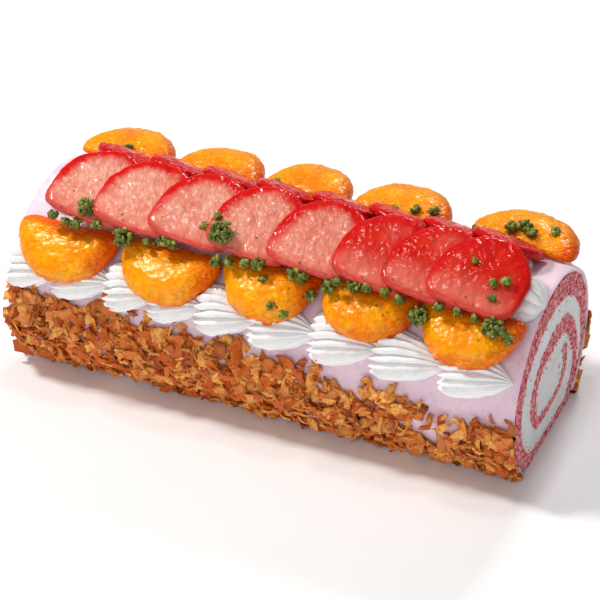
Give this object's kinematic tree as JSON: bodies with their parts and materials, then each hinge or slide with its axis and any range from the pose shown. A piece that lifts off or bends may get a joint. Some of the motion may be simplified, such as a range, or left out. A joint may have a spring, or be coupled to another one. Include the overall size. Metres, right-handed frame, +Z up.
{
  "type": "swiss roll cake",
  "caption": "Whole swiss roll cake: pink sponge and cream spiral, lilac icing, wafer flakes on the sides, piped cream shells, mandarin segments and shingled strawberry slices.",
  "frame": {"origin": "middle of the flat foot that the roll rests on", "axes": "+X along the roll towards the cut end that the picture shows, -Y towards the front with the visible row of mandarins, +Z up"},
  "size_m": [0.1824, 0.0856, 0.0747],
  "materials": {
    "sponge": "pink sponge crumb with fine pores",
    "filling": "smooth white whipped cream",
    "icing": "pale lilac-pink spread cream with golden brown wafer flakes",
    "piped_cream": "white whipped cream with piped ridges",
    "mandarin": "wet orange mandarin flesh with green nut crumbs",
    "strawberry": "glazed strawberry slice, red rim and pale flesh"
  },
  "bodies": {
    "root": {"sponge": "sponge", "cream_filling": "filling", "icing": "icing", "cream_ridge_front": "piped_cream", "cream_ridge_back": "piped_cream", "mandarin_front_1": "mandarin", "mandarin_front_2": "mandarin", "mandarin_front_3": "mandarin", "mandarin_front_4": "mandarin", "mandarin_front_5": "mandarin", "mandarin_back_1": "mandarin", "mandarin_back_2": "mandarin", "mandarin_back_3": "mandarin", "mandarin_back_4": "mandarin", "mandarin_back_5": "mandarin", "strawberry_front_1": "strawberry", "strawberry_front_2": "strawberry", "strawberry_front_3": "strawberry", "strawberry_front_4": "strawberry", "strawberry_front_5": "strawberry", "strawberry_front_6": "strawberry", "strawberry_front_7": "strawberry", "strawberry_front_8": "strawberry", "strawberry_back_1": "strawberry", "strawberry_back_2": "strawberry", "strawberry_back_3": "strawberry", "strawberry_back_4": "strawberry", "strawberry_back_5": "strawberry", "strawberry_back_6": "strawberry", "strawberry_back_7": "strawberry", "strawberry_back_8": "strawberry", "shell_front_1": "piped_cream", "shell_front_2": "piped_cream", "shell_front_3": "piped_cream", "shell_front_4": "piped_cream", "shell_front_5": "piped_cream", "shell_front_6": "piped_cream", "shell_front_7": "piped_cream", "shell_front_8": "piped_cream", "shell_front_9": "piped_cream", "shell_back_1": "piped_cream", "shell_back_2": "piped_cream", "shell_back_3": "piped_cream", "shell_back_4": "piped_cream", "shell_back_5": "piped_cream", "shell_back_6": "piped_cream", "shell_back_7": "piped_cream", "shell_back_8": "piped_cream", "shell_back_9": "piped_cream"}
  },
  "joints": []
}
